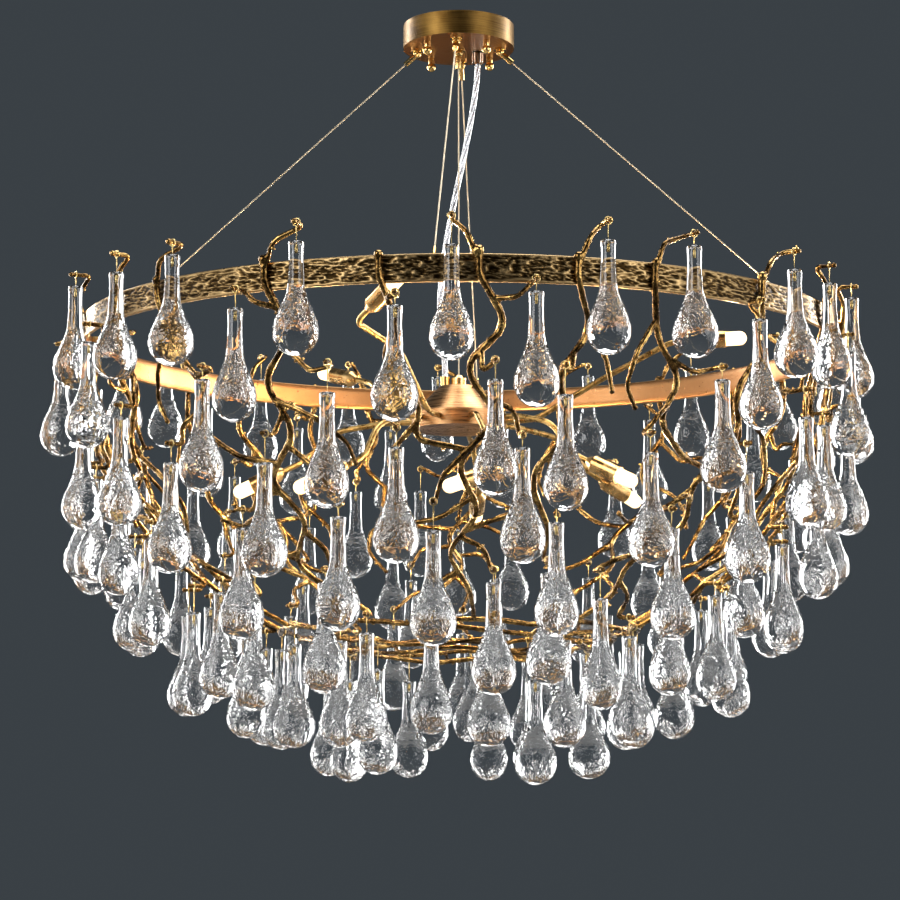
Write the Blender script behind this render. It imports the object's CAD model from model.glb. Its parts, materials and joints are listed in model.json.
import json
import math

import bmesh
import bpy
import numpy as np
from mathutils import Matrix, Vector, noise

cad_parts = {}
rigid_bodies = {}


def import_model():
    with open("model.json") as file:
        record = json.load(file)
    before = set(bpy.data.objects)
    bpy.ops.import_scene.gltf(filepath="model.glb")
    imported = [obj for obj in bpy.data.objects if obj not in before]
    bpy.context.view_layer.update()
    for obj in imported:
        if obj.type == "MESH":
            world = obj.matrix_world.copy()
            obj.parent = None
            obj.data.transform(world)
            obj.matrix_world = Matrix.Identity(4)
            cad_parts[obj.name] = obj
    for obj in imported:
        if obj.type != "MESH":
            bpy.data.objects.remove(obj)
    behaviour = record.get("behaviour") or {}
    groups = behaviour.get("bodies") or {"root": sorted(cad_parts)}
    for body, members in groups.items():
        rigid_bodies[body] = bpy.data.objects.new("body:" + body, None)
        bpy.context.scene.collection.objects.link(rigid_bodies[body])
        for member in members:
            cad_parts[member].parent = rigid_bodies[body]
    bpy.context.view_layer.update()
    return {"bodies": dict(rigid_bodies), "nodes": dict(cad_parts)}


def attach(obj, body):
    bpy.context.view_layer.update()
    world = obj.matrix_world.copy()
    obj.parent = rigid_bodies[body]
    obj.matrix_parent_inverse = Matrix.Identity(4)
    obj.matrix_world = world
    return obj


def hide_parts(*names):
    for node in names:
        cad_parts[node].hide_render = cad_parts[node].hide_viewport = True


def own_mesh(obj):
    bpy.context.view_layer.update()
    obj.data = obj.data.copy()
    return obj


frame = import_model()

# The stage: a plain pale floor well below the hanging light, a plain slate studio beyond it and soft
# panels all round. The camera stands half a metre below the ring and looks slightly up, 2.6 m away.
EYE_DISTANCE = 2.56
EYE_HEIGHT = -0.805
EYE_AZIMUTH = math.radians(3.4)
EYE_PITCH = math.radians(7.6)
EYE_TURN = math.radians(0.21)
EYE_LENS = 97.4
FLOOR_DEPTH = -2.3
FLOOR_HALF = 5.0
FLOOR_SLATE_IN_GLASS = 0.6
SOFT_AIR = 0.32
SLATE = (0.043, 0.052, 0.060, 1)

scene = bpy.context.scene
scene.view_settings.view_transform = "Standard"
eye = bpy.data.objects.new("photo_camera", bpy.data.cameras.new("photo_camera"))
eye.data.sensor_width = 36
eye.data.lens = EYE_LENS
eye.location = (EYE_DISTANCE * math.sin(EYE_AZIMUTH), -EYE_DISTANCE * math.cos(EYE_AZIMUTH), EYE_HEIGHT)
eye.rotation_euler = (math.pi / 2 + EYE_PITCH, 0, EYE_AZIMUTH + EYE_TURN)
scene.collection.objects.link(eye)
scene.camera = eye


def add(tree, kind, sockets=(), **props):
    """A new node. sockets maps an input's name or number to a value or to another node's output."""
    made = tree.nodes.new(kind)
    for name, value in props.items():
        setattr(made, name, value)
    for key, value in dict(sockets).items():
        if isinstance(value, bpy.types.NodeSocket):
            tree.links.new(value, made.inputs[key])
        else:
            made.inputs[key].default_value = value
    return made


studio = bpy.data.worlds.new("studio")
studio.use_nodes = True
air = studio.node_tree
air.nodes.clear()
rays = add(air, "ShaderNodeLightPath").outputs
shown = add(air, "ShaderNodeMath", {0: rays["Is Camera Ray"], 1: rays["Is Glossy Ray"]}, operation="MAXIMUM")
shown = add(air, "ShaderNodeMath", {0: shown.outputs[0], 1: rays["Is Transmission Ray"]}, operation="MAXIMUM")
soft_air = add(air, "ShaderNodeBackground", {"Color": (1, 1, 1, 1), "Strength": SOFT_AIR})
slate_air = add(air, "ShaderNodeBackground", {"Color": SLATE, "Strength": 1})
both = add(air, "ShaderNodeMixShader", {0: shown.outputs[0], 1: soft_air.outputs[0], 2: slate_air.outputs[0]})
add(air, "ShaderNodeOutputWorld", {"Surface": both.outputs[0]})
scene.world = studio

LIGHT_AIM = Vector((0, 0, -0.5))
PANEL_SPREAD = math.radians(110)
for name, place, wide, tall, power in (
    ("front_left_panel", (-2.3, -2.6, 0.7), 2.2, 2.0, 29),
    ("front_right_panel", (2.6, -2.2, 0.2), 1.9, 2.2, 20),
    ("left_wall", (-3.0, -0.2, -0.3), 2.6, 2.8, 13),
    ("right_wall", (3.0, -0.2, -0.3), 2.6, 2.8, 13),
    ("back_left_strip", (-2.0, 1.3, -0.2), 0.42, 2.4, 34),
    ("back_right_strip", (2.0, 1.3, -0.2), 0.42, 2.4, 34),
    ("top_panel", (0.3, 0.2, 1.6), 1.6, 1.6, 20),
):
    panel = bpy.data.lights.new(name, "AREA")
    panel.shape = "RECTANGLE"
    panel.size = wide
    panel.size_y = tall
    panel.energy = power
    panel.spread = PANEL_SPREAD
    lamp = bpy.data.objects.new(name, panel)
    lamp.location = place
    lamp.rotation_euler = (LIGHT_AIM - Vector(place)).to_track_quat("-Z", "Y").to_euler()
    lamp.visible_camera = False
    scene.collection.objects.link(lamp)


def finish_of(name):
    """A new material, with its node tree and its shader."""
    made = bpy.data.materials.new(name)
    made.use_nodes = True
    return made, made.node_tree, made.node_tree.nodes["Principled BSDF"]


def ramp(tree, factor, *stops):
    """A colour ramp through (position, colour) stops."""
    made = add(tree, "ShaderNodeValToRGB", {0: factor})
    marks = made.color_ramp.elements
    while len(marks) < len(stops):
        marks.new(0.5)
    for mark, (place, colour) in zip(marks, stops):
        mark.position = place
        mark.color = (*colour, 1)
    return made.outputs["Color"]


def spread(tree, value, low, high, start=0.0, end=1.0):
    """The value moved from start..end to low..high."""
    made = add(tree, "ShaderNodeMapRange", {0: value, 1: start, 2: end, 3: low, 4: high})
    return made.outputs[0]


pale, tree, shader = finish_of("pale_floor")
place = add(tree, "ShaderNodeTexCoord").outputs["Object"]
mottle = add(tree, "ShaderNodeTexNoise", {"Vector": place, "Scale": 3.0, "Detail": 3.0}).outputs[0]
tone = ramp(tree, mottle, (0.3, (0.51, 0.51, 0.50)), (0.7, (0.55, 0.55, 0.54)))
tree.links.new(tone, shader.inputs["Base Color"])
shader.inputs["Roughness"].default_value = 0.75
rays = add(tree, "ShaderNodeLightPath").outputs
bounced = add(
    tree, "ShaderNodeMath", {0: rays["Is Glossy Ray"], 1: rays["Is Transmission Ray"]}, operation="MAXIMUM"
).outputs[0]
mirrored = add(tree, "ShaderNodeMath", {0: bounced, 1: FLOOR_SLATE_IN_GLASS}, operation="MULTIPLY")
slate = add(tree, "ShaderNodeEmission", {"Color": SLATE, "Strength": 1.0})
both = add(tree, "ShaderNodeMixShader", {0: mirrored.outputs[0], 1: shader.outputs[0], 2: slate.outputs[0]})
tree.links.new(both.outputs[0], tree.nodes["Material Output"].inputs["Surface"])
sheet = bpy.data.meshes.new("floor")
corners = [(x * FLOOR_HALF, y * FLOOR_HALF, FLOOR_DEPTH) for x, y in ((-1, -1), (1, -1), (1, 1), (-1, 1))]
sheet.from_pydata(corners, [], [(0, 1, 2, 3)])
sheet.materials.append(pale)
floor = bpy.data.objects.new("floor", sheet)
scene.collection.objects.link(floor)


# Canopy: a shallow spun-brass cup against the ceiling, brushed round its side, darker and more
# coppery underneath, with four ball nuts and five cable grips screwed through its flat face.
def dress(material, *nodes):
    """Gives the CAD nodes this material."""
    for node in nodes:
        slots = frame["nodes"][node].data.materials
        slots.clear()
        slots.append(material)


def spun_finish(name, dark, bright, lines, rough_low, rough_high, tarnish=None):
    """Metal turned on a lathe about the hanging axis: fine lines run round it."""
    made, tree, shader = finish_of(name)
    place = add(tree, "ShaderNodeTexCoord").outputs["Object"]
    x, y, z = add(tree, "ShaderNodeSeparateXYZ", {0: place}).outputs
    flat = add(tree, "ShaderNodeCombineXYZ", {0: x, 1: y}).outputs[0]
    out = add(tree, "ShaderNodeVectorMath", {0: flat}, operation="LENGTH").outputs["Value"]
    turn = add(tree, "ShaderNodeMath", {0: y, 1: x}, operation="ARCTAN2").outputs[0]
    wide = add(tree, "ShaderNodeMath", {0: out, 1: lines}, operation="MULTIPLY").outputs[0]
    high = add(tree, "ShaderNodeMath", {0: z, 1: lines}, operation="MULTIPLY").outputs[0]
    turned = add(tree, "ShaderNodeCombineXYZ", {0: wide, 1: turn, 2: high}).outputs[0]
    grain = add(tree, "ShaderNodeTexNoise", {"Vector": turned, "Scale": 1.0, "Detail": 4.0}).outputs[0]
    stain = add(tree, "ShaderNodeTexNoise", {"Vector": place, "Scale": 38.0, "Detail": 5.0}).outputs[0]
    both = add(tree, "ShaderNodeMath", {0: grain, 1: stain}, operation="ADD").outputs[0]
    colour = ramp(tree, spread(tree, both, 0, 1, 0.7, 1.3), (0.1, dark), (0.85, bright))
    if tarnish:
        under = add(tree, "ShaderNodeNewGeometry").outputs["Normal"]
        down = add(tree, "ShaderNodeSeparateXYZ", {0: under}).outputs[2]
        low = spread(tree, down, 1, 0, -0.9, -0.5)
        blend = add(tree, "ShaderNodeMix", {0: low, 6: colour, 7: (*tarnish, 1)}, data_type="RGBA")
        colour = blend.outputs[2]
    tree.links.new(colour, shader.inputs["Base Color"])
    tree.links.new(spread(tree, grain, rough_low, rough_high, 0.3, 0.7), shader.inputs["Roughness"])
    shader.inputs["Metallic"].default_value = 1.0
    ridge = add(tree, "ShaderNodeBump", {"Height": grain, "Strength": 0.12, "Distance": 0.0004})
    tree.links.new(ridge.outputs[0], shader.inputs["Normal"])
    return made


canopy_brass = spun_finish(
    "canopy_brass", (0.066, 0.033, 0.007), (0.18, 0.102, 0.026), 1400.0, 0.30, 0.48, (0.29, 0.128, 0.031)
)
dress(canopy_brass, "canopy_cup")
polished_brass = spun_finish("polished_brass", (0.52, 0.33, 0.10), (0.86, 0.63, 0.27), 700.0, 0.12, 0.24)
dress(polished_brass, "ball_nuts", "grip_collars", "grip_barrels")


# Behind the canopy: the zinc-plated ceiling plate and its studs, and the white terminal block
# where the house wiring ends. They are out of sight once the cup is on.
def mottled_finish(name, dark, bright, scale, rough_low, rough_high, metal):
    """A plain surface with a soft cloudy variation, as on plating, ceramic or moulded plastic."""
    made, tree, shader = finish_of(name)
    place = add(tree, "ShaderNodeTexCoord").outputs["Object"]
    cloud = add(tree, "ShaderNodeTexNoise", {"Vector": place, "Scale": scale, "Detail": 6.0}).outputs[0]
    tree.links.new(ramp(tree, cloud, (0.35, dark), (0.65, bright)), shader.inputs["Base Color"])
    tree.links.new(spread(tree, cloud, rough_low, rough_high, 0.35, 0.65), shader.inputs["Roughness"])
    shader.inputs["Metallic"].default_value = metal
    grain = add(tree, "ShaderNodeBump", {"Height": cloud, "Strength": 0.08, "Distance": 0.0005})
    tree.links.new(grain.outputs[0], shader.inputs["Normal"])
    return made


zinc_plating = mottled_finish("zinc_plating", (0.42, 0.43, 0.45), (0.62, 0.63, 0.65), 160.0, 0.3, 0.5, 1.0)
dress(zinc_plating, "ceiling_plate", "plate_studs")
white_plastic = mottled_finish("white_plastic", (0.74, 0.74, 0.71), (0.82, 0.82, 0.79), 220.0, 0.4, 0.55, 0.0)
dress(white_plastic, "terminal_block")


# Hanging cables: 1.6 mm steel wire rope of six strands laid round a core, champagne coloured. Four run
# from the canopy's swivelling grips to the ring and one drops straight down to the hub.
def named_input(modifier, name, value):
    """Sets a tree's input by the name that it shows."""
    for item in modifier.node_group.interface.items_tree:
        if item.item_type == "SOCKET" and item.in_out == "INPUT" and item.name == name:
            modifier[item.identifier] = value


def new_tree(name, inputs):
    """An empty geometry tree with these named inputs, its input node's outputs and its output node."""
    tree = bpy.data.node_groups.new(name, "GeometryNodeTree")
    tree.interface.new_socket("Geometry", in_out="INPUT", socket_type="NodeSocketGeometry")
    for label, kind in inputs:
        tree.interface.new_socket(label, in_out="INPUT", socket_type="NodeSocket" + kind)
    tree.interface.new_socket("Geometry", in_out="OUTPUT", socket_type="NodeSocketGeometry")
    return tree, tree.nodes.new("NodeGroupInput").outputs, tree.nodes.new("NodeGroupOutput")


def plain_mesh(obj, **kept):
    """Leaves what the object's modifiers make of it as a plain mesh."""
    graph = bpy.context.evaluated_depsgraph_get()
    graph.update()
    mesh = bpy.data.meshes.new_from_object(obj.evaluated_get(graph), depsgraph=graph, **kept)
    obj.modifiers.clear()
    obj.data = mesh
    return mesh


def baked(obj, tree, **inputs):
    """Runs the tree on the object and leaves its result as a plain mesh."""
    modifier = obj.modifiers.new("make", "NODES")
    modifier.node_group = tree
    for label, value in inputs.items():
        named_input(modifier, label.replace("_", " "), value)
    plain_mesh(obj, preserve_all_data_layers=True).name = obj.name


laid, given, result = new_tree(
    "laid_strands",
    (("Strands", "Int"), ("Lay", "Float"), ("Strand Circle", "Float"), ("Strand Radius", "Float"),
     ("Steps", "Float"), ("Sides", "Int"), ("Strand Material", "Material")),
)
line = add(laid, "GeometryNodeMeshToCurve", {0: given["Geometry"]}).outputs[0]
pace = add(laid, "ShaderNodeMath", {0: given["Lay"], 1: given["Steps"]}, operation="DIVIDE").outputs[0]
line = add(laid, "GeometryNodeResampleCurve", {"Curve": line, "Length": pace}, mode="LENGTH").outputs[0]
copies = add(
    laid, "GeometryNodeDuplicateElements", {"Geometry": line, "Amount": given["Strands"]}, domain="SPLINE"
)
along = add(laid, "GeometryNodeSplineParameter").outputs["Length"]
wound = add(laid, "ShaderNodeMath", {0: along, 1: given["Lay"]}, operation="DIVIDE").outputs[0]
number = copies.outputs[1]
share = add(laid, "ShaderNodeMath", {0: number, 1: given["Strands"]}, operation="DIVIDE").outputs[0]
turns = add(laid, "ShaderNodeMath", {0: wound, 1: share}, operation="ADD").outputs[0]
angle = add(laid, "ShaderNodeMath", {0: turns, 1: math.tau}, operation="MULTIPLY").outputs[0]
across = add(laid, "GeometryNodeInputNormal").outputs[0]
ahead = add(laid, "GeometryNodeInputTangent").outputs[0]
aside = add(laid, "ShaderNodeVectorMath", {0: ahead, 1: across}, operation="CROSS_PRODUCT").outputs[0]
cosine = add(laid, "ShaderNodeMath", {0: angle}, operation="COSINE").outputs[0]
sine = add(laid, "ShaderNodeMath", {0: angle}, operation="SINE").outputs[0]
first = add(laid, "ShaderNodeVectorMath", {0: across, "Scale": cosine}, operation="SCALE").outputs[0]
second = add(laid, "ShaderNodeVectorMath", {0: aside, "Scale": sine}, operation="SCALE").outputs[0]
ring = add(laid, "ShaderNodeVectorMath", {0: first, 1: second}, operation="ADD").outputs[0]
reach = given["Strand Circle"]
moved = add(laid, "ShaderNodeVectorMath", {0: ring, "Scale": reach}, operation="SCALE").outputs[0]
strand = add(laid, "GeometryNodeSetPosition", {"Geometry": copies.outputs[0], "Offset": moved}).outputs[0]
bead = add(
    laid, "GeometryNodeCurvePrimitiveCircle",
    {"Resolution": given["Sides"], "Radius": given["Strand Radius"]},
)
solid = add(laid, "GeometryNodeCurveToMesh", {0: strand, 1: bead.outputs[0], "Fill Caps": True}).outputs[0]
solid = add(laid, "GeometryNodeSetShadeSmooth", {0: solid}).outputs[0]
solid = add(laid, "GeometryNodeRealizeInstances", {0: solid}).outputs[0]
solid = add(laid, "GeometryNodeSetMaterial", {0: solid, "Material": given["Strand Material"]}).outputs[0]
laid.links.new(solid, result.inputs[0])


def line_object(name, points):
    """A bare line through the points, for a tree to build on."""
    mesh = bpy.data.meshes.new(name)
    mesh.from_pydata([tuple(p) for p in points], [(i, i + 1) for i in range(len(points) - 1)], [])
    made = bpy.data.objects.new(name, mesh)
    scene.collection.objects.link(made)
    return made


ROPE_DIAMETER = 0.0016
ROPE_LAY = 0.006
ROPE_STRANDS = 6
STRAND_RADIUS = 0.00027
STRAND_SIDES = 5
STEPS_PER_LAY = 6.0
GRIP_END = (0.05799, -0.04147)
RING_END = (0.37366, -0.32626)
HUB_ROPE_TOP = -0.04725
HUB_ROPE_END = -0.384
rope_steel = spun_finish("rope_steel", (0.46, 0.39, 0.28), (0.66, 0.58, 0.44), 900.0, 0.45, 0.6)


def hung_rope(name, node, top, bottom):
    """A taut wire rope between two points, drawn up into its grip as the light is raised."""
    rope = line_object(name, (top, bottom))
    baked(
        rope, laid, Strands=ROPE_STRANDS, Lay=ROPE_LAY, Strand_Circle=ROPE_DIAMETER / 2 - STRAND_RADIUS,
        Strand_Radius=STRAND_RADIUS, Steps=STEPS_PER_LAY, Sides=STRAND_SIDES, Strand_Material=rope_steel,
    )
    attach(rope, "canopy")
    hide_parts(node)
    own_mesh(rope)


for name, turn in (("front", 0), ("right", 90), ("back", 180), ("left", 270)):
    side = (math.sin(math.radians(turn)), -math.cos(math.radians(turn)))
    grip_point = (side[0] * GRIP_END[0], side[1] * GRIP_END[0], GRIP_END[1])
    ring_point = (side[0] * RING_END[0], side[1] * RING_END[0], RING_END[1])
    hung_rope("ring_cable_" + name, "ring_cables", grip_point, ring_point)
hung_rope("hub_cable", "centre_cable", (0, 0, HUB_ROPE_TOP), (0, 0, HUB_ROPE_END))


# Supply cord: a clear PVC sheath, 6 mm across, over three tinned conductors twisted together. It leaves
# the canopy through a clear grip, bows past the hub cable and enters the gland on top of the hub.
CORD_DIAMETER = 0.006
CORES = 3
CORE_RADIUS = 0.00095
CORE_CIRCLE = 0.00112
CORE_LAY = 0.06
CORE_SIDES = 10
CORE_STEPS_PER_LAY = 16.0
SHEATH_SIDES = 20
CORD_ROUTE = (
    (0.020, 0.012, -0.039),
    (0.020, 0.012, -0.0736),
    (-0.024, 0.0, -0.2812),
    (-0.0145, 0.0, -0.36424),
    (-0.0145, 0.0, -0.385),
)
route = bpy.data.curves.new("cord_route", "CURVE")
route.dimensions = "3D"
route.resolution_u = 24
spline = route.splines.new("NURBS")
spline.points.add(len(CORD_ROUTE) - 1)
for point, place in zip(spline.points, CORD_ROUTE):
    point.co = (*place, 1)
spline.order_u = 3
spline.use_endpoint_u = True
guide = bpy.data.objects.new("cord_route", route)
scene.collection.objects.link(guide)
graph = bpy.context.evaluated_depsgraph_get()
walked = bpy.data.meshes.new_from_object(guide.evaluated_get(graph))
cord_path = [tuple(v.co) for v in walked.vertices]
bpy.data.objects.remove(guide)

clear_pvc, tree, shader = finish_of("clear_pvc")
place = add(tree, "ShaderNodeTexCoord").outputs["Object"]
haze = add(tree, "ShaderNodeTexNoise", {"Vector": place, "Scale": 120.0, "Detail": 3.0}).outputs[0]
tree.links.new(spread(tree, haze, 0.06, 0.16, 0.3, 0.7), shader.inputs["Roughness"])
shader.inputs["Base Color"].default_value = (0.95, 0.96, 0.97, 1)
shader.inputs["Transmission Weight"].default_value = 1.0
shader.inputs["IOR"].default_value = 1.35
tinned = spun_finish("tinned_copper", (0.50, 0.50, 0.51), (0.86, 0.86, 0.88), 600.0, 0.18, 0.32)

sheathed, given, result = new_tree("sheathed_line", (("Radius", "Float"), ("Sheath Material", "Material")))
line = add(sheathed, "GeometryNodeMeshToCurve", {0: given["Geometry"]}).outputs[0]
bead = add(
    sheathed, "GeometryNodeCurvePrimitiveCircle", {"Resolution": SHEATH_SIDES, "Radius": given["Radius"]}
).outputs[0]
solid = add(sheathed, "GeometryNodeCurveToMesh", {0: line, 1: bead, "Fill Caps": True}).outputs[0]
solid = add(sheathed, "GeometryNodeSetShadeSmooth", {0: solid}).outputs[0]
solid = add(sheathed, "GeometryNodeRealizeInstances", {0: solid}).outputs[0]
solid = add(sheathed, "GeometryNodeSetMaterial", {0: solid, "Material": given["Sheath Material"]}).outputs[0]
sheathed.links.new(solid, result.inputs[0])

sheath = line_object("supply_cord", cord_path)
baked(sheath, sheathed, Radius=CORD_DIAMETER / 2, Sheath_Material=clear_pvc)
cores = line_object("supply_cord_cores", cord_path)
baked(
    cores, laid, Strands=CORES, Lay=CORE_LAY, Strand_Circle=CORE_CIRCLE, Strand_Radius=CORE_RADIUS,
    Steps=CORE_STEPS_PER_LAY, Sides=CORE_SIDES, Strand_Material=tinned,
)
for piece, slot_name in ((sheath, "clear_plastic"), (cores, "zinc_steel")):
    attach(piece, "canopy")
    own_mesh(piece)
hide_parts("power_cord")
dress(clear_pvc, "cord_grip")


# Ring: a flat brass hoop, 26 mm deep. Its outer face is cast with bark-like ridges that run along it;
# the inner face is smooth and coppery. The branches are brazed on, and the heat leaves dark patches.
RING_RADIUS = 0.4
RING_LEVEL = -0.35
BRANCHES = 10
BAND_HEIGHT = 0.026
BAND_THICKNESS = 0.005
BAND_ROUND = 0.0008
BARK_DEPTH = 0.0013
BARK_STEPS = 1500
BARK_ROWS = 26
BARK_SWAY = 2.2
SWAY_CELLS = 9
COARSE_RIDGES = (26, 0.30, 0.0, 1.0)  # cells in the radius, cells in 1 mm of height, shift, share
FINE_RIDGES = (46, 0.52, 40.0, 0.75)
RIDGE_WIDTH = 0.13
RIM_HEIGHT = 0.0025
RIM_RIDGE = 0.75
PLAIN_RIDGE = 0.9
INSIDE_LEVELS = (-0.006, 0.0, 0.006)
JOINT_SLACK = 0.002
HEAT_REACH = 0.028
SCORCHED = (0.055, 0.035, 0.018, 1)


def bark_height(turn, level):
    """0 in a furrow, 1 on a ridge, at a turn in radians and a level in metres."""
    sway = noise.noise(Vector((SWAY_CELLS * math.cos(turn), SWAY_CELLS * math.sin(turn), 3.7)))
    up = level / 0.001 + BARK_SWAY * sway
    high = 0.0
    for around, down, shift, share in (COARSE_RIDGES, FINE_RIDGES):
        at = Vector((around * math.cos(turn) + shift, around * math.sin(turn), up * down))
        wave = noise.noise(at)
        high = max(high, share * math.exp(-((wave / RIDGE_WIDTH) ** 2)))
    return high


heat_turns = []
for number in range(1, BRANCHES + 1):
    made = frame["nodes"][f"branch_{number:02d}"].data
    co = np.empty(len(made.vertices) * 3, np.float32)
    made.vertices.foreach_get("co", co)
    co = co.reshape(-1, 3)
    out = np.hypot(co[:, 0], co[:, 1])
    on_band = (np.abs(out - RING_RADIUS) < JOINT_SLACK) & (np.abs(co[:, 2] - RING_LEVEL) < BAND_HEIGHT / 2)
    if on_band.any():
        mid = co[on_band].mean(axis=0)
        heat_turns.append(math.atan2(mid[1], mid[0]))

outline = []
for row in range(BARK_ROWS + 1):
    outline.append((RING_RADIUS, (0.5 - row / BARK_ROWS) * (BAND_HEIGHT - 2 * BAND_ROUND), "bark"))
outline += [(RING_RADIUS - BAND_ROUND, -BAND_HEIGHT / 2, "edge")]
inner = RING_RADIUS - BAND_THICKNESS
outline += [(inner + BAND_ROUND, -BAND_HEIGHT / 2, "edge"), (inner, BAND_ROUND - BAND_HEIGHT / 2, "inside")]
outline += [(inner, level, "inside") for level in INSIDE_LEVELS]
outline += [(inner, BAND_HEIGHT / 2 - BAND_ROUND, "inside"), (inner + BAND_ROUND, BAND_HEIGHT / 2, "edge")]
outline += [(RING_RADIUS - BAND_ROUND, BAND_HEIGHT / 2, "edge")]
points, ridges, smooths, heats = [], [], [], []
for step in range(BARK_STEPS):
    turn = math.tau * step / BARK_STEPS
    near = min(abs(math.remainder(turn - other, math.tau)) for other in heat_turns) * RING_RADIUS
    heat = max(0.0, 1 - near / HEAT_REACH)
    for reach, level, kind in outline:
        high = bark_height(turn, level) if kind == "bark" else PLAIN_RIDGE
        if abs(level) > BAND_HEIGHT / 2 - RIM_HEIGHT:
            high = max(high, RIM_RIDGE)
        if kind == "bark":
            reach -= BARK_DEPTH * (1 - high)
        points.append((reach * math.cos(turn), reach * math.sin(turn), RING_LEVEL + level))
        ridges.append(high)
        smooths.append(1.0 if kind == "inside" else 0.0)
        heats.append(heat)
count = len(outline)
faces = []
for step in range(BARK_STEPS):
    here, there = step * count, (step + 1) % BARK_STEPS * count
    for row in range(count):
        after = (row + 1) % count
        faces.append((here + row, here + after, there + after, there + row))


def piece_from(name, points, faces, material):
    """A new smooth-shaded piece at the origin."""
    mesh = bpy.data.meshes.new(name)
    mesh.from_pydata(points, [], faces)
    mesh.materials.append(material)
    mesh.shade_smooth()
    made = bpy.data.objects.new(name, mesh)
    scene.collection.objects.link(made)
    return made


def paint(obj, label, values):
    """Keeps one number for each point of the mesh, for the material to read."""
    kept = obj.data.attributes.new(label, "FLOAT", "POINT")
    kept.data.foreach_set("value", np.asarray(values, np.float32))


bark_brass, tree, shader = finish_of("bark_brass")
place = add(tree, "ShaderNodeTexCoord").outputs["Object"]
ridge = add(tree, "ShaderNodeAttribute", attribute_name="ridge").outputs["Fac"]
inside = add(tree, "ShaderNodeAttribute", attribute_name="inside").outputs["Fac"]
heat = add(tree, "ShaderNodeAttribute", attribute_name="heat").outputs["Fac"]
speck = add(tree, "ShaderNodeTexNoise", {"Vector": place, "Scale": 420.0, "Detail": 4.0}).outputs[0]
cloud = add(tree, "ShaderNodeTexNoise", {"Vector": place, "Scale": 16.0, "Detail": 4.0}).outputs[0]
bark = ramp(
    tree, ridge, (0.0, (0.013, 0.007, 0.002)), (0.42, (0.090, 0.053, 0.019)), (0.95, (0.43, 0.290, 0.132))
)
copper = ramp(tree, cloud, (0.3, (0.20, 0.090, 0.032)), (0.7, (0.29, 0.147, 0.061)))
colour = add(tree, "ShaderNodeMix", {0: inside, 6: bark, 7: copper}, data_type="RGBA").outputs[2]
burnt = add(tree, "ShaderNodeMath", {0: heat, 1: cloud}, operation="MULTIPLY").outputs[0]
burnt = spread(tree, burnt, 0.0, 0.85, 0.2, 0.5)
colour = add(tree, "ShaderNodeMix", {0: burnt, 6: colour, 7: SCORCHED}, data_type="RGBA").outputs[2]
tree.links.new(colour, shader.inputs["Base Color"])
tree.links.new(spread(tree, speck, 0.26, 0.46, 0.3, 0.7), shader.inputs["Roughness"])
shader.inputs["Metallic"].default_value = 1.0
grain = add(tree, "ShaderNodeBump", {"Height": speck, "Strength": 0.18, "Distance": 0.0006})
tree.links.new(grain.outputs[0], shader.inputs["Normal"])

band = piece_from("bark_ring", points, faces, bark_brass)
paint(band, "ridge", ridges)
paint(band, "inside", smooths)
paint(band, "heat", heats)
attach(band, "fixture")
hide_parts("ring_band")


# Cable ends on the ring: a small brass lug with a hole, brazed inside the band, and the cable's eye
# through the hole, crimped with a ferrule.
lug_brass = mottled_finish("lug_brass", (0.38, 0.23, 0.075), (0.70, 0.48, 0.19), 260.0, 0.28, 0.45, 1.0)
dress(lug_brass, "cable_lugs")
dress(polished_brass, "cable_eyes")


# Hub: a spun bell closed by a flat plate, pinkish copper-brass, with the coupler for the hub cable and
# the cord's gland on top. A plated rod holds it together, and the lamps' wires meet in a block inside.
hub_copper = spun_finish("hub_copper", (0.34, 0.165, 0.058), (0.56, 0.325, 0.150), 1100.0, 0.22, 0.38)
dress(hub_copper, "hub_bell", "hub_plate")
dress(polished_brass, "hub_coupler", "hub_gland")
dress(zinc_plating, "hub_rod")
dress(white_plastic, "hub_terminal")


# Lamps: bent brass tubes leave the hub and end in turned brass sleeves. Each sleeve holds a ceramic
# socket and a frosted capsule bulb that glows warm white.
arm_brass = mottled_finish("arm_brass", (0.32, 0.18, 0.050), (0.62, 0.41, 0.15), 140.0, 0.22, 0.40, 1.0)
dress(arm_brass, "lamp_arms")
sleeve_brass = mottled_finish("sleeve_brass", (0.50, 0.28, 0.095), (0.80, 0.53, 0.22), 90.0, 0.20, 0.34, 1.0)
dress(sleeve_brass, "lamp_sleeves")
white_ceramic = mottled_finish("white_ceramic", (0.76, 0.74, 0.70), (0.84, 0.83, 0.80), 300.0, 0.25, 0.4, 0.0)
dress(white_ceramic, "lamp_holders")
BULB_GLOW = 1.9
lit_glass, tree, shader = finish_of("lit_frosted_glass")
place = add(tree, "ShaderNodeTexCoord").outputs["Object"]
frost = add(tree, "ShaderNodeTexNoise", {"Vector": place, "Scale": 90.0, "Detail": 2.0}).outputs[0]
glow = ramp(tree, frost, (0.3, (1.0, 0.70, 0.34)), (0.7, (1.0, 0.80, 0.48)))
tree.links.new(glow, shader.inputs["Emission Color"])
shader.inputs["Emission Strength"].default_value = BULB_GLOW
tree.links.new(glow, shader.inputs["Base Color"])
shader.inputs["Roughness"].default_value = 0.5
dress(lit_glass, "bulbs")


def solids_of(node):
    """A merged copy of a CAD node, and the points of each solid in it."""
    copy = bmesh.new()
    copy.from_mesh(frame["nodes"][node].data)
    bmesh.ops.remove_doubles(copy, verts=copy.verts, dist=1e-6)
    left = set(copy.verts)
    solids = []
    for start in copy.verts:
        if start not in left:
            continue
        left.discard(start)
        found = [start]
        for vert in found:
            for edge in vert.link_edges:
                other = edge.other_vert(vert)
                if other in left:
                    left.discard(other)
                    found.append(other)
        solids.append(found)
    return copy, solids


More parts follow.
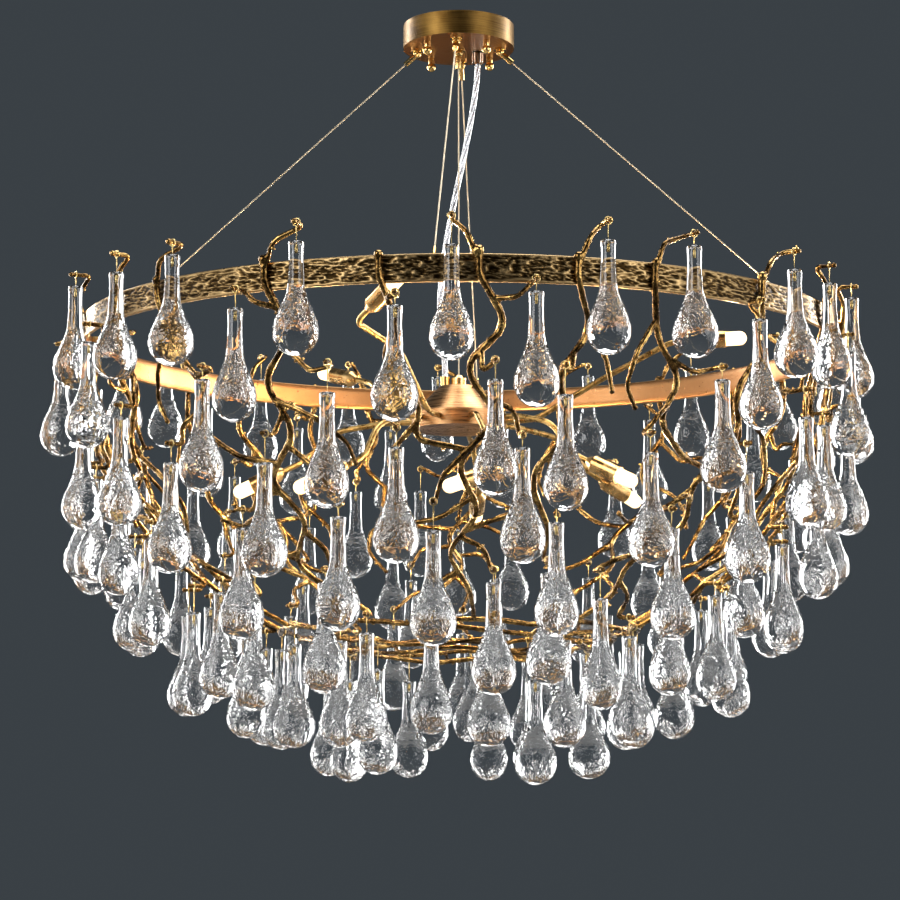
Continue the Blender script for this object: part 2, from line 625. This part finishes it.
LAMP_POWER = 6.0
LAMP_SIZE = 0.007
LAMP_COLOUR = (1.0, 0.71, 0.42)
copy, solids = solids_of("bulbs")
for number, found in enumerate(solids, 1):
    spots = np.array([v.co for v in found])
    filament = bpy.data.lights.new(f"filament_{number}", "POINT")
    filament.energy = LAMP_POWER
    filament.color = LAMP_COLOUR
    filament.shadow_soft_size = LAMP_SIZE
    lamp = bpy.data.objects.new(f"filament_{number}", filament)
    lamp.location = (spots.min(axis=0) + spots.max(axis=0)) / 2
    lamp.parent = frame["bodies"]["fixture"]
    scene.collection.objects.link(lamp)
copy.free()
frame["nodes"]["bulbs"].visible_shadow = False


# Branches: ten forked brass castings brazed to the ring, and a nest of twigs that closes the bowl. They
# are knobbly, dark in the furrows and rubbed to gold where they stand proud.
TWIG_VOXEL = 0.0011
KNOB_SIZE = 0.011
KNOB_DEPTH = 0.00055
KNOB_SINK = 0.25
FURROW_SIZE = 0.0032
FURROW_DEPTH = 0.00032
FURROW_SINK = 0.2
BUD_DENSITY = 900.0
BUD_LENGTH = 0.0042
BUD_SIDES = 7
BUD_FOOT = 0.55  # foot, tip and sunken part as shares of a bud's length
BUD_TIP = 0.16
BUD_SUNK = 0.3
BUD_RUBBED = 0.72
BUD_LEAN = 0.7
BUD_SMALLEST = 0.55
BUD_LARGEST = 1.25
RUBBED_MIDDLE = 0.62
RUBBED_GAIN = 0.75
BRAZE_REACH = 0.009
BRAZE_HEIGHT = 0.012
BRAZE_BELOW = 1.6
BRAZE_STAIN = 0.85
BRAZED = (0.05, 0.032, 0.016, 1)

twig_brass, tree, shader = finish_of("antique_twig_brass")
place = add(tree, "ShaderNodeTexCoord").outputs["Object"]
rubbed = add(tree, "ShaderNodeAttribute", attribute_name="rubbed").outputs["Fac"]
braze = add(tree, "ShaderNodeAttribute", attribute_name="heat").outputs["Fac"]
speck = add(tree, "ShaderNodeTexNoise", {"Vector": place, "Scale": 700.0, "Detail": 3.0}).outputs[0]
cloud = add(tree, "ShaderNodeTexNoise", {"Vector": place, "Scale": 24.0, "Detail": 4.0}).outputs[0]
patina = add(tree, "ShaderNodeMath", {0: cloud, 1: 0.5}, operation="SUBTRACT").outputs[0]
patina = add(tree, "ShaderNodeMath", {0: rubbed, 1: patina}, operation="ADD").outputs[0]
colour = ramp(
    tree, patina, (0.10, (0.034, 0.018, 0.006)), (0.46, (0.19, 0.103, 0.030)), (0.84, (0.55, 0.352, 0.122))
)
colour = add(tree, "ShaderNodeMix", {0: braze, 6: colour, 7: BRAZED}, data_type="RGBA").outputs[2]
tree.links.new(colour, shader.inputs["Base Color"])
tree.links.new(spread(tree, speck, 0.15, 0.32, 0.3, 0.7), shader.inputs["Roughness"])
shader.inputs["Metallic"].default_value = 1.0
grain = add(tree, "ShaderNodeBump", {"Height": speck, "Strength": 0.22, "Distance": 0.0005})
tree.links.new(grain.outputs[0], shader.inputs["Normal"])


budded, given, result = new_tree(
    "budded_twig",
    (("Buds Per Square Metre", "Float"), ("Seed", "Int"), ("Bud Length", "Float"), ("Skin", "Material")),
)
spots = add(
    budded, "GeometryNodeDistributePointsOnFaces",
    {"Mesh": given["Geometry"], "Density": given["Buds Per Square Metre"], "Seed": given["Seed"]},
)
bud_length = given["Bud Length"]
foot = add(budded, "ShaderNodeMath", {0: bud_length, 1: BUD_FOOT}, operation="MULTIPLY").outputs[0]
tip = add(budded, "ShaderNodeMath", {0: bud_length, 1: BUD_TIP}, operation="MULTIPLY").outputs[0]
bud = add(
    budded, "GeometryNodeMeshCone",
    {"Vertices": BUD_SIDES, "Radius Top": tip, "Radius Bottom": foot, "Depth": bud_length},
).outputs[0]
bud = add(
    budded, "GeometryNodeStoreNamedAttribute", {"Geometry": bud, "Name": "rubbed", "Value": BUD_RUBBED},
    data_type="FLOAT", domain="POINT",
).outputs[0]
sunk = add(budded, "ShaderNodeMath", {0: bud_length, 1: -BUD_SUNK}, operation="MULTIPLY").outputs[0]
sunk = add(budded, "ShaderNodeCombineXYZ", {2: sunk}).outputs[0]
bud = add(budded, "GeometryNodeSetPosition", {"Geometry": bud, "Offset": sunk}).outputs[0]
lean = add(budded, "FunctionNodeRandomValue", {"Seed": given["Seed"]}, data_type="FLOAT_VECTOR")
lean.inputs[0].default_value = (-BUD_LEAN, -BUD_LEAN, 0.0)
lean.inputs[1].default_value = (BUD_LEAN, BUD_LEAN, math.tau)
leaning = add(
    budded, "FunctionNodeRotateRotation",
    {0: spots.outputs["Rotation"], 1: lean.outputs[0]}, rotation_space="LOCAL",
).outputs[0]
ages = add(budded, "FunctionNodeRandomValue", {"Seed": given["Seed"]}, data_type="FLOAT")
ages.inputs[2].default_value = BUD_SMALLEST
ages.inputs[3].default_value = BUD_LARGEST
buds = add(
    budded, "GeometryNodeInstanceOnPoints",
    {"Points": spots.outputs["Points"], "Instance": bud, "Rotation": leaning, "Scale": ages.outputs[1]},
).outputs[0]
whole = add(budded, "GeometryNodeJoinGeometry").outputs[0]
budded.links.new(given["Geometry"], whole.node.inputs[0])
budded.links.new(buds, whole.node.inputs[0])
whole = add(budded, "GeometryNodeRealizeInstances", {0: whole}).outputs[0]
whole = add(budded, "GeometryNodeSetShadeSmooth", {0: whole}).outputs[0]
whole = add(budded, "GeometryNodeSetMaterial", {0: whole, "Material": given["Skin"]}).outputs[0]
budded.links.new(whole, result.inputs[0])


def cast_twig(name, node, seed):
    """The CAD branch with a cast, knobbly skin."""
    copy = bmesh.new()
    copy.from_mesh(frame["nodes"][node].data)
    bmesh.ops.remove_doubles(copy, verts=copy.verts, dist=1e-6)
    mesh = bpy.data.meshes.new(name)
    copy.to_mesh(mesh)
    copy.free()
    twig = bpy.data.objects.new(name, mesh)
    scene.collection.objects.link(twig)
    skin = twig.modifiers.new("skin", "REMESH")
    skin.mode = "VOXEL"
    skin.voxel_size = TWIG_VOXEL
    settle = twig.modifiers.new("settle", "SMOOTH")
    settle.factor = 0.5
    settle.iterations = 3
    mesh = plain_mesh(twig)
    mesh.materials.clear()
    mesh.materials.append(twig_brass)
    size = len(mesh.vertices)
    co = np.empty(size * 3, np.float32)
    mesh.vertices.foreach_get("co", co)
    co = co.reshape(-1, 3)
    away = np.empty(size * 3, np.float32)
    mesh.vertex_normals.foreach_get("vector", away)
    away = away.reshape(-1, 3)
    rise = np.empty(size, np.float32)
    for i in range(size):
        at = Vector(co[i].tolist())
        knob = noise.noise(at / KNOB_SIZE)
        furrow = noise.noise(at / FURROW_SIZE)
        rise[i] = KNOB_DEPTH * (knob - KNOB_SINK) + FURROW_DEPTH * (furrow - FURROW_SINK)
    co += away * rise[:, None]
    mesh.vertices.foreach_set("co", co.ravel())
    mesh.shade_smooth()
    mesh.update()
    span = KNOB_DEPTH + FURROW_DEPTH
    paint(twig, "rubbed", np.clip(RUBBED_MIDDLE + rise / span * RUBBED_GAIN, 0, 1))
    out = np.abs(np.hypot(co[:, 0], co[:, 1]) - RING_RADIUS)
    level = np.abs(co[:, 2] - RING_LEVEL)
    near_band = np.clip(1 - out / BRAZE_REACH, 0, 1) * np.clip(BRAZE_BELOW - level / BRAZE_HEIGHT, 0, 1)
    paint(twig, "heat", near_band * BRAZE_STAIN)
    baked(twig, budded, Buds_Per_Square_Metre=BUD_DENSITY, Seed=seed, Bud_Length=BUD_LENGTH, Skin=twig_brass)
    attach(twig, "fixture")
    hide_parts(node)


for number in range(1, BRANCHES + 1):
    cast_twig(f"twig_casting_{number:02d}", f"branch_{number:02d}", number)
cast_twig("nest_casting", "bottom_nest", 20)


# Hanger wires: thin brass wire bent to a ring over each twig tip, straight down, and ended in a slim
# crimp that is set into the drop's hole with clear resin.
PLUG_LENGTH = 0.008
CRIMP_SHARE = 0.2
WIRE_FACES_KEPT = 0.2
RIM_DROPS = 10
wire_brass = mottled_finish("wire_brass", (0.52, 0.36, 0.12), (0.86, 0.66, 0.30), 400.0, 0.22, 0.36, 1.0)
hanger_sets = [("hanger_wires", "drop_hangers", "fixture")]
for k in range(1, RIM_DROPS + 1):
    hanger_sets.append((f"hanger_wire_{k:02d}", f"rim_hanger_{k:02d}", f"swinging_drop_{k:02d}"))
for name, node, body in hanger_sets:
    copy, solids = solids_of(node)
    for found in solids:
        low = min(v.co.z for v in found)
        foot = [v for v in found if v.co.z < low + PLUG_LENGTH + 1e-5]
        across = (min(v.co.x for v in foot) + max(v.co.x for v in foot)) / 2
        along = (min(v.co.y for v in foot) + max(v.co.y for v in foot)) / 2
        for v in foot:
            v.co.x = across + (v.co.x - across) * CRIMP_SHARE
            v.co.y = along + (v.co.y - along) * CRIMP_SHARE
    mesh = bpy.data.meshes.new(name)
    copy.to_mesh(mesh)
    copy.free()
    mesh.materials.append(wire_brass)
    mesh.shade_smooth()
    wires = bpy.data.objects.new(name, mesh)
    scene.collection.objects.link(wires)
    thinned = wires.modifiers.new("thinned", "DECIMATE")
    thinned.ratio = WIRE_FACES_KEPT
    plain_mesh(wires)
    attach(wires, body)
    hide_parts(node)


# Drops: solid clear glass, drawn to a long neck with a sawn flat top. The wire's hole is filled with clear
# resin almost to the top. The hand-formed bulbs differ a little and their skin is crackled and dimpled.
DROP_LENGTH = 0.105
DROP_RADIUS = 0.022
NECK_RADIUS = 0.0075
HOLE_RADIUS = 0.0036
HOLE_DEPTH = 0.0022
DROP_SIDES = 40
NECK_ROWS = 9
SHOULDER_ROWS = 17
BULB_ROWS = 12
SHAPE_WIDTHS = (1.0, 0.965, 0.985, 0.95)
SHAPE_SHIFT = (3.1, 1.7, 2.3)
CRACKLE_SIZE = 0.0078
CRACKLE_DEPTH = 0.00062
CRACKLE_START = 0.036
CRACKLE_FADE = 0.016
CRACKLE_STEEPNESS = 1.6
TIP_CRACKLE = 0.2
TIP_SMOOTH = 0.004
SWELL_SIZE = 0.021
SWELL_DEPTH = 0.0006
TOP_ROUND = 0.0008
BULB_MIDDLE = DROP_LENGTH - DROP_RADIUS
NECK_END = 0.034
NECK_WAIST = 0.10
SHOULDER_EASE = 1.12

crackled_glass, tree, shader = finish_of("crackled_clear_glass")
place = add(tree, "ShaderNodeTexCoord").outputs["Object"]
crackle = add(tree, "ShaderNodeAttribute", attribute_name="crackle").outputs["Fac"]
warp = add(tree, "ShaderNodeTexNoise", {"Vector": place, "Scale": 110.0, "Detail": 2.0}).outputs["Color"]
warped = add(tree, "ShaderNodeVectorMath", {0: warp, "Scale": 0.006}, operation="SCALE").outputs[0]
warped = add(tree, "ShaderNodeVectorMath", {0: place, 1: warped}, operation="ADD").outputs[0]
cells = add(
    tree, "ShaderNodeTexVoronoi", {"Vector": warped, "Scale": 128.0}, feature="DISTANCE_TO_EDGE"
).outputs["Distance"]
cells = spread(tree, cells, 0.0, 1.0, 0.0, 0.22)
relief = add(tree, "ShaderNodeMath", {0: cells, 1: crackle}, operation="MULTIPLY").outputs[0]
dimples = add(tree, "ShaderNodeBump", {"Height": relief, "Strength": 0.42, "Distance": 0.0007})
tree.links.new(dimples.outputs[0], shader.inputs["Normal"])
shader.inputs["Base Color"].default_value = (1.0, 1.0, 1.0, 1)
shader.inputs["Roughness"].default_value = 0.0
shader.inputs["Transmission Weight"].default_value = 1.0
shader.inputs["IOR"].default_value = 1.5


def drop_profile(depth, widest):
    """The drop's radius at a depth below its flat top."""
    if depth <= NECK_END:
        return NECK_RADIUS * (1 - NECK_WAIST * math.sin(math.pi * depth / NECK_END))
    if depth < BULB_MIDDLE:
        way = (depth - NECK_END) / (BULB_MIDDLE - NECK_END)
        ease = way * way * (3 - 2 * way)
        return NECK_RADIUS + (widest - NECK_RADIUS) * ease ** SHOULDER_EASE
    low = min(1.0, (depth - BULB_MIDDLE) / DROP_RADIUS)
    return widest * math.sqrt(max(0.0, 1 - low * low))


shapes = bpy.data.collections.new("drop_shapes")
for shape, width in enumerate(SHAPE_WIDTHS):
    widest = DROP_RADIUS * width
    depths = [TOP_ROUND] + [NECK_END * k / NECK_ROWS for k in range(1, NECK_ROWS + 1)]
    for k in range(1, SHOULDER_ROWS + 1):
        depths.append(NECK_END + (BULB_MIDDLE - NECK_END) * k / SHOULDER_ROWS)
    for k in range(1, BULB_ROWS):
        depths.append(BULB_MIDDLE + DROP_RADIUS * math.sin(math.pi / 2 * k / BULB_ROWS))
    rows = [(HOLE_RADIUS, HOLE_DEPTH, 0.0), (HOLE_RADIUS, 0.0, 0.0), (NECK_RADIUS - TOP_ROUND, 0.0, 0.0)]
    for depth in depths:
        skin = min(1.0, max(0.0, (depth - CRACKLE_START) / CRACKLE_FADE))
        skin *= min(1.0, max(TIP_CRACKLE, (DROP_LENGTH - TIP_SMOOTH - depth) / CRACKLE_FADE))
        rows.append((drop_profile(depth, widest), depth, skin))
    shift = Vector([shape * step for step in SHAPE_SHIFT])
    points, crackles, faces = [], [], []
    for reach, depth, skin in rows:
        for k in range(DROP_SIDES):
            turn = math.tau * k / DROP_SIDES
            at = Vector((reach * math.cos(turn), reach * math.sin(turn), -depth))
            near = noise.voronoi(at / CRACKLE_SIZE + shift)[0]
            dent = min(1.0, (near[1] - near[0]) * CRACKLE_STEEPNESS)
            swell = noise.noise(at / SWELL_SIZE + shift)
            sink = skin * CRACKLE_DEPTH * (1 - dent) + skin * SWELL_DEPTH * max(0.0, swell)
            length = max(1e-6, math.hypot(at.x, at.y))
            scale = 1 - min(0.5, sink / max(length, 0.004))
            points.append((at.x * scale, at.y * scale, at.z))
            crackles.append(skin)
    for row in range(len(rows) - 1):
        for k in range(DROP_SIDES):
            after = (k + 1) % DROP_SIDES
            here, there = row * DROP_SIDES, (row + 1) * DROP_SIDES
            faces.append((here + k, there + k, there + after, here + after))
    hole, tip = len(points), len(points) + 1
    points += [(0, 0, -HOLE_DEPTH), (0, 0, -DROP_LENGTH)]
    crackles += [0.0, TIP_CRACKLE]
    last = (len(rows) - 1) * DROP_SIDES
    for k in range(DROP_SIDES):
        after = (k + 1) % DROP_SIDES
        faces.append((hole, k, after))
        faces.append((tip, last + after, last + k))
    drop = piece_from(f"drop_shape_{shape}", points, faces, crackled_glass)
    paint(drop, "crackle", crackles)
    sharp = drop.data.attributes.new("sharp_face", "BOOLEAN", "FACE")
    flat = [face.normal.z > 0.9 for face in drop.data.polygons]
    sharp.data.foreach_set("value", flat)
    scene.collection.objects.unlink(drop)
    shapes.objects.link(drop)

strung, given, result = new_tree(
    "strung_drops",
    (("Shapes", "Collection"), ("Shape Count", "Int"), ("Seed", "Int"), ("Glass", "Material")),
)
kinds = add(
    strung, "GeometryNodeCollectionInfo",
    {"Collection": given["Shapes"], "Separate Children": True, "Reset Children": True},
).outputs[0]
most = add(strung, "ShaderNodeMath", {0: given["Shape Count"], 1: 1.0}, operation="SUBTRACT").outputs[0]
pick = add(strung, "FunctionNodeRandomValue", {"Seed": given["Seed"]}, data_type="INT")
strung.links.new(most, pick.inputs[5])
pick.inputs[4].default_value = 0
twist = add(strung, "FunctionNodeRandomValue", {"Seed": given["Seed"]}, data_type="FLOAT")
twist.inputs[2].default_value = 0.0
twist.inputs[3].default_value = math.tau
turned = add(strung, "ShaderNodeCombineXYZ", {2: twist.outputs[1]}).outputs[0]
hung = add(
    strung, "GeometryNodeInstanceOnPoints",
    {"Points": given["Geometry"], "Instance": kinds, "Pick Instance": True,
     "Instance Index": pick.outputs[2], "Rotation": turned},
).outputs[0]
hung = add(strung, "GeometryNodeRealizeInstances", {0: hung}).outputs[0]
hung = add(strung, "GeometryNodeSetMaterial", {0: hung, "Material": given["Glass"]}).outputs[0]
strung.links.new(hung, result.inputs[0])


def drop_tops(node):
    """Where the flat top of each CAD drop in a node is."""
    copy, solids = solids_of(node)
    tops = []
    for found in solids:
        spots = np.array([v.co for v in found])
        middle = (spots.min(axis=0) + spots.max(axis=0)) / 2
        tops.append((middle[0], middle[1], spots[:, 2].max()))
    copy.free()
    return sorted(tops)


glass_sets = []
for k in range(1, RIM_DROPS + 1):
    glass_sets.append((f"glass_drop_{k:02d}", f"rim_drop_{k:02d}", f"swinging_drop_{k:02d}"))
for tier in ("upper", "middle", "lower", "bottom"):
    glass_sets.append((tier + "_glass", tier + "_drops", "fixture"))
for seed, (name, node, body) in enumerate(glass_sets):
    mesh = bpy.data.meshes.new(name)
    mesh.from_pydata(drop_tops(node), [], [])
    glass = bpy.data.objects.new(name, mesh)
    scene.collection.objects.link(glass)
    baked(glass, strung, Shapes=shapes, Shape_Count=len(SHAPE_WIDTHS), Seed=seed + 3, Glass=crackled_glass)
    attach(glass, body)
    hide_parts(node)
for drop in list(shapes.objects):
    bpy.data.objects.remove(drop)
bpy.data.collections.remove(shapes)
